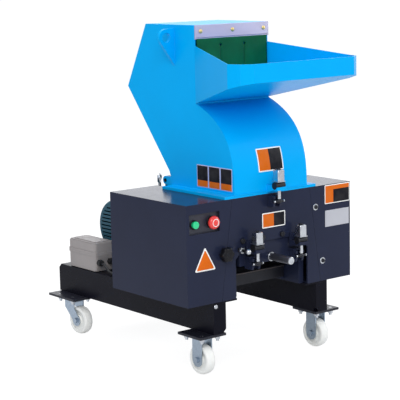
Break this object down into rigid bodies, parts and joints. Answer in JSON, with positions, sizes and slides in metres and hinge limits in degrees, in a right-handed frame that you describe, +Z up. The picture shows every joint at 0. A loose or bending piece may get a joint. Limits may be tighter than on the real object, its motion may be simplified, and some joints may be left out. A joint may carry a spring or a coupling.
{
  "type": "plastic granulator",
  "caption": "Claw-knife plastic granulator on casters with a tilting feed hopper, drop-down screen, granule tray and belt-driven motor.",
  "frame": {"origin": "centre of the bounding box's footprint, on the floor", "axes": "+X to the machine's right, +Y to its back, +Z up; the feed tray faces -Y"},
  "size_m": [0.7, 1.057, 1.1023],
  "materials": {
    "navy_paint": "satin",
    "frame_paint": "satin",
    "pad_paint": "satin",
    "hopper_paint": "gloss",
    "zinc": "satin",
    "bolt_zinc": "satin",
    "nylon": "satin",
    "knife_steel": "ground",
    "rotor_steel": "machined",
    "shaft_steel": "ground",
    "bearing_steel": "ground",
    "housing_iron": "painted",
    "wheel_iron": "machined",
    "knob_plastic": "moulded",
    "panel_plastic": "satin",
    "start_plastic": "gloss",
    "stop_plastic": "gloss",
    "clamp_paint": "satin",
    "clamp_steel": "polished",
    "bar_steel": "satin",
    "brass": "satin",
    "curtain_rubber": "matte",
    "cradle_paint": "satin",
    "screen_steel": "perforated sheet",
    "handle_steel": "turned",
    "tray_paint": "satin",
    "motor_paint": "semi-gloss",
    "cover_paint": "semi-gloss",
    "fan_plastic": "moulded",
    "belt_rubber": "matte",
    "starter_plastic": "moulded",
    "gland_plastic": "moulded",
    "cable_rubber": "matte"
  },
  "bodies": {
    "machine_frame": {"side_beams": "frame_paint", "cross_members": "frame_paint", "caster_plates": "pad_paint", "caster_bolts": "bolt_zinc", "caster_mounts": "zinc", "chamber_walls": "navy_paint", "chamber_front": "navy_paint", "chamber_rear": "navy_paint", "bed_knives": "knife_steel", "bed_knife_bolts": "bolt_zinc", "bearing_housings": "housing_iron", "rotor_bearings": "bearing_steel", "left_guard": "navy_paint", "right_guard": "navy_paint", "guard_screws": "bolt_zinc", "control_panel": "panel_plastic", "clamp_brackets": "clamp_paint", "hopper_hinge": "clamp_paint", "motor_frame": "motor_paint", "lifting_eye": "zinc", "fan_cover": "cover_paint", "terminal_box": "motor_paint", "motor_rails": "pad_paint", "drive_belts": "belt_rubber", "starter_base": "starter_plastic", "starter_lid": "starter_plastic", "starter_glands": "gland_plastic", "starter_cables": "cable_rubber"},
    "hopper": {"hopper_shell": "hopper_paint", "feed_tray": "hopper_paint", "curtain_bar": "bar_steel", "curtain_screws": "brass"},
    "curtain": {"curtain": "curtain_rubber"},
    "rotor": {"rotor_shaft": "shaft_steel", "rotor_core": "rotor_steel", "claw_knives": "knife_steel", "flywheel": "wheel_iron", "rotor_pulley": "wheel_iron"},
    "motor_rotor": {"motor_shaft": "shaft_steel", "motor_pulley": "wheel_iron", "motor_fan": "fan_plastic"},
    "cradle": {"cradle_frame": "cradle_paint", "screen": "screen_steel", "cradle_handle": "handle_steel"},
    "granule_tray": {"granule_tray": "tray_paint"},
    "upper_clamp": {"upper_clamp_rod": "clamp_steel"},
    "left_clamp": {"left_clamp_rod": "clamp_steel"},
    "right_clamp": {"right_clamp_rod": "clamp_steel"},
    "upper_nut": {"upper_clamp_nut": "clamp_steel"},
    "left_nut": {"left_clamp_nut": "clamp_steel"},
    "right_nut": {"right_clamp_nut": "clamp_steel"},
    "start_button": {"start_button": "start_plastic"},
    "stop_button": {"stop_button": "stop_plastic"},
    "star_knob": {"star_knob": "knob_plastic"},
    "rear_left_swivel": {"rear_left_fork": "zinc"},
    "rear_right_swivel": {"rear_right_fork": "zinc"},
    "front_left_wheel": {"front_left_wheel": "nylon"},
    "front_right_wheel": {"front_right_wheel": "nylon"},
    "rear_left_wheel": {"rear_left_wheel": "nylon"},
    "rear_right_wheel": {"rear_right_wheel": "nylon"}
  },
  "joints": [
    {"name": "hopper_tilt", "type": "hinge", "parent": "machine_frame", "child": "hopper", "pos_m": [0, -0.0035, 0.586], "axis": [-1, 0, 0], "range_deg": [0, 55]},
    {"name": "curtain_swing", "type": "hinge", "parent": "hopper", "child": "curtain", "pos_m": [0, -0.1782, 1.0596], "axis": [1, 0, 0], "range_deg": [-30, 60]},
    {"name": "rotor_spin", "type": "hinge", "parent": "machine_frame", "child": "rotor", "pos_m": [0, -0.1935, 0.452], "axis": [1, 0, 0], "continuous": true},
    {"name": "motor_spin", "type": "hinge", "parent": "machine_frame", "child": "motor_rotor", "pos_m": [0, 0.3235, 0.382], "axis": [1, 0, 0], "continuous": true},
    {"name": "cradle_drop", "type": "hinge", "parent": "machine_frame", "child": "cradle", "pos_m": [0, -0.0435, 0.392], "axis": [1, 0, 0], "range_deg": [0, 7.5]},
    {"name": "tray_slide", "type": "slide", "parent": "machine_frame", "child": "granule_tray", "axis": [0, -1, 0], "range_m": [0, 0.2]},
    {"name": "upper_clamp_swing", "type": "hinge", "parent": "hopper", "child": "upper_clamp", "pos_m": [0, -0.3975, 0.593], "axis": [-1, 0, 0], "range_deg": [-12, 18]},
    {"name": "left_clamp_swing", "type": "hinge", "parent": "machine_frame", "child": "left_clamp", "pos_m": [-0.093, -0.3975, 0.403], "axis": [-1, 0, 0], "range_deg": [-12, 18]},
    {"name": "right_clamp_swing", "type": "hinge", "parent": "machine_frame", "child": "right_clamp", "pos_m": [0.093, -0.3975, 0.403], "axis": [-1, 0, 0], "range_deg": [-12, 18]},
    {"name": "upper_nut_turn", "type": "hinge", "parent": "upper_clamp", "child": "upper_nut", "pos_m": [0, -0.3975, 0.625], "axis": [0, 0, 1], "continuous": true},
    {"name": "left_nut_turn", "type": "hinge", "parent": "left_clamp", "child": "left_nut", "pos_m": [-0.093, -0.3975, 0.435], "axis": [0, 0, 1], "continuous": true},
    {"name": "right_nut_turn", "type": "hinge", "parent": "right_clamp", "child": "right_nut", "pos_m": [0.093, -0.3975, 0.435], "axis": [0, 0, 1], "continuous": true},
    {"name": "start_press", "type": "slide", "parent": "machine_frame", "child": "start_button", "axis": [0, 1, 0], "range_m": [0, 0.003], "stiffness_N_per_m": 250},
    {"name": "stop_press", "type": "slide", "parent": "machine_frame", "child": "stop_button", "axis": [0, 1, 0], "range_m": [0, 0.005], "stiffness_N_per_m": 350},
    {"name": "knob_turn", "type": "hinge", "parent": "machine_frame", "child": "star_knob", "pos_m": [-0.203, -0.3715, 0.394], "axis": [0, 1, 0], "continuous": true},
    {"name": "rear_left_swivel", "type": "hinge", "parent": "machine_frame", "child": "rear_left_swivel", "pos_m": [-0.247, 0.4345, 0.11], "axis": [0, 0, 1], "continuous": true},
    {"name": "rear_left_roll", "type": "hinge", "parent": "rear_left_swivel", "child": "rear_left_wheel", "pos_m": [-0.24449, 0.39859, 0.05], "axis": [0.9976, 0.0698, 0], "continuous": true},
    {"name": "front_left_roll", "type": "hinge", "parent": "machine_frame", "child": "front_left_wheel", "pos_m": [-0.247, -0.2985, 0.05], "axis": [1, 0, 0], "continuous": true},
    {"name": "rear_right_swivel", "type": "hinge", "parent": "machine_frame", "child": "rear_right_swivel", "pos_m": [0.247, 0.4345, 0.11], "axis": [0, 0, 1], "continuous": true},
    {"name": "rear_right_roll", "type": "hinge", "parent": "rear_right_swivel", "child": "rear_right_wheel", "pos_m": [0.24261, 0.39877, 0.05], "axis": [0.9925, -0.1219, 0], "continuous": true},
    {"name": "front_right_roll", "type": "hinge", "parent": "machine_frame", "child": "front_right_wheel", "pos_m": [0.247, -0.2985, 0.05], "axis": [1, 0, 0], "continuous": true}
  ],
  "couplings": [
    {"joint": "motor_spin", "follows": "rotor_spin", "ratio": 2}
  ]
}
